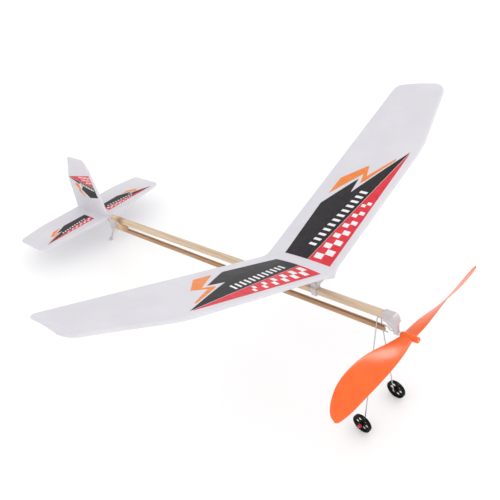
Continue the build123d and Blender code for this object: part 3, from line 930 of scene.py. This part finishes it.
shaft_bore = rod(HOOK_X, HUB_REAR_X, WIRE_RADIUS + RUNNING_GAP)
shaft_bore.transform(Matrix.Translation((0, 0, SHAFT_Z)))
melted("nose_bearing", "airframe", shaft_bore)
melted("tail_mount", "airframe")
softened("tail_skid", 0.25, "airframe")
softened("wing_clip_front", 0.3, "wing")
softened("wing_clip_rear", 0.3, "wing")
softened("wing_saddle", 0.3, "wing")

# ---------------------------------------------------------------- wheels, stops and bead


def wheel():
    """A thin disc wheel: rim, recessed web with six holes, and a hub with a raised lip."""
    half = [
        (WHEEL_HUB_HALF_WIDTH, WIRE_RADIUS + RUNNING_GAP),
        (WHEEL_HUB_HALF_WIDTH, 1.9),
        (WHEEL_HALF_WEB, 2.1),
        (WHEEL_HALF_WEB, 7.7),
        (WHEEL_HALF_WIDTH, 8.0),
        (WHEEL_HALF_WIDTH, WHEEL_RADIUS),
    ]
    profile = half + [(-x, r) for x, r in reversed(half)]
    disc = lathe(eased(profile, 0.28), 96)
    for k in range(WHEEL_HOLES):
        angle = tau * k / WHEEL_HOLES
        hole = rod(-3, 3, WHEEL_HOLE_RADIUS)
        place = Vector((0, cos(angle), sin(angle))) * WHEEL_HOLE_CIRCLE
        hole.transform(Matrix.Translation(place))
        disc = combined(disc, hole, "DIFFERENCE")
    return disc


def tube(half, inner, outer):
    """The closed profile of a short tube."""
    return [(-half, inner), (half, inner), (half, outer), (-half, outer)]


def centre_of(node):
    low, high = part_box(node)
    return (low + high) / 2


# A lathe's X axis is turned on to the axle, which runs along Y
AXLE = Matrix.Rotation(radians(90), 4, "Z") @ Matrix.Scale(MM, 4)
for side in ("left", "right"):
    node = f"wheel_{side}"
    place = Matrix.Translation(centre_of(node)) @ AXLE
    piece(f"{node}_moulding", wheel(), place, black, node, (node,), 35)
    node = f"axle_stop_{side}"
    place = Matrix.Translation(centre_of(node)) @ AXLE
    bm = lathe(eased(tube(STOP_HALF_LENGTH, WIRE_RADIUS + 0.02, STOP_RADIUS), 0.35), 48)
    piece(f"{node}_sleeve", bm, place, red, "airframe", (node,), 35)

bead_place = AIRCRAFT @ Matrix.Translation((BEAD_X, 0, SHAFT_Z))
bm = lathe(eased(tube(BEAD_HALF_LENGTH, WIRE_RADIUS + 0.05, BEAD_RADIUS), 0.42), 48)
piece("thrust_bead_ring", bm, bead_place, bead, "propeller", ("thrust_bead",), 35)

# ---------------------------------------------------------------- CAD nodes that stay

for node, material in (("motor_stick", wood), ("prop_shaft", steel), ("landing_gear_wire", steel)):
    for material_slot in frame["nodes"][node].material_slots:
        material_slot.material = material

# ---------------------------------------------------------------- floor, light and camera


def floor():
    bm = bmesh.new()
    bmesh.ops.create_grid(bm, x_segments=8, y_segments=8, size=6)
    mesh = bpy.data.meshes.new("floor")
    bm.to_mesh(mesh)
    bm.free()
    paper = Shader("floor", Roughness=0.9)
    paper.colour(paper.ramp(paper.noise(3, 2), (0.3, (0.985, 0.985, 0.985)), (0.7, (1.0, 1.0, 1.0))))
    mesh.materials.append(paper.material)
    made = bpy.data.objects.new("floor", mesh)
    bpy.context.scene.collection.objects.link(made)
    made.location.z = cad_box[0].z - 0.0003


def softbox(name, aim, azimuth, elevation, distance, size, power, only_shines=False):
    """A round softbox, lit towards aim. One that only shines is seen in gloss and lights nothing else."""
    lamp = bpy.data.lights.new(name, "AREA")
    lamp.shape = "DISK"
    lamp.size = size
    lamp.energy = power
    made = bpy.data.objects.new(name, lamp)
    bpy.context.scene.collection.objects.link(made)
    made.visible_diffuse = not only_shines
    a, e = radians(azimuth), radians(elevation)
    back = Vector((cos(a) * cos(e), sin(a) * cos(e), sin(e)))
    made.location = aim + back * distance
    made.rotation_euler = (-back).to_track_quat("-Z", "Y").to_euler()


def camera(aim, azimuth, elevation, roll, distance, lens):
    data = bpy.data.cameras.new("camera")
    data.sensor_width = 36
    data.lens = lens
    data.clip_start = 0.02
    made = bpy.data.objects.new("camera", data)
    bpy.context.scene.collection.objects.link(made)
    a, e = radians(azimuth), radians(elevation)
    back = Vector((cos(a) * cos(e), sin(a) * cos(e), sin(e)))
    made.location = aim + back * distance
    facing = (-back).to_track_quat("-Z", "Y").to_matrix().to_4x4()
    turned = facing @ Matrix.Rotation(radians(roll), 4, "Z")
    made.rotation_euler = turned.to_euler()
    bpy.context.scene.camera = made


floor()
middle = (cad_box[0] + cad_box[1]) / 2
softbox("window", middle, 66, 52, 1.2, 0.55, 9.0, only_shines=True)
softbox("front", middle, -8, 22, 1.6, 0.9, 2.2)
world = bpy.data.worlds.new("studio")
world.use_nodes = True
world.node_tree.nodes["Background"].inputs["Color"].default_value = (1, 1, 1, 1)
world.node_tree.nodes["Background"].inputs["Strength"].default_value = 1.07
bpy.context.scene.world = world
bpy.context.scene.view_settings.view_transform = "Standard"
aim = middle + Vector((0.0628, 0.0068, 0))
camera(aim, azimuth=-41.63, elevation=38.51, roll=-6.07, distance=0.6816, lens=50.06)
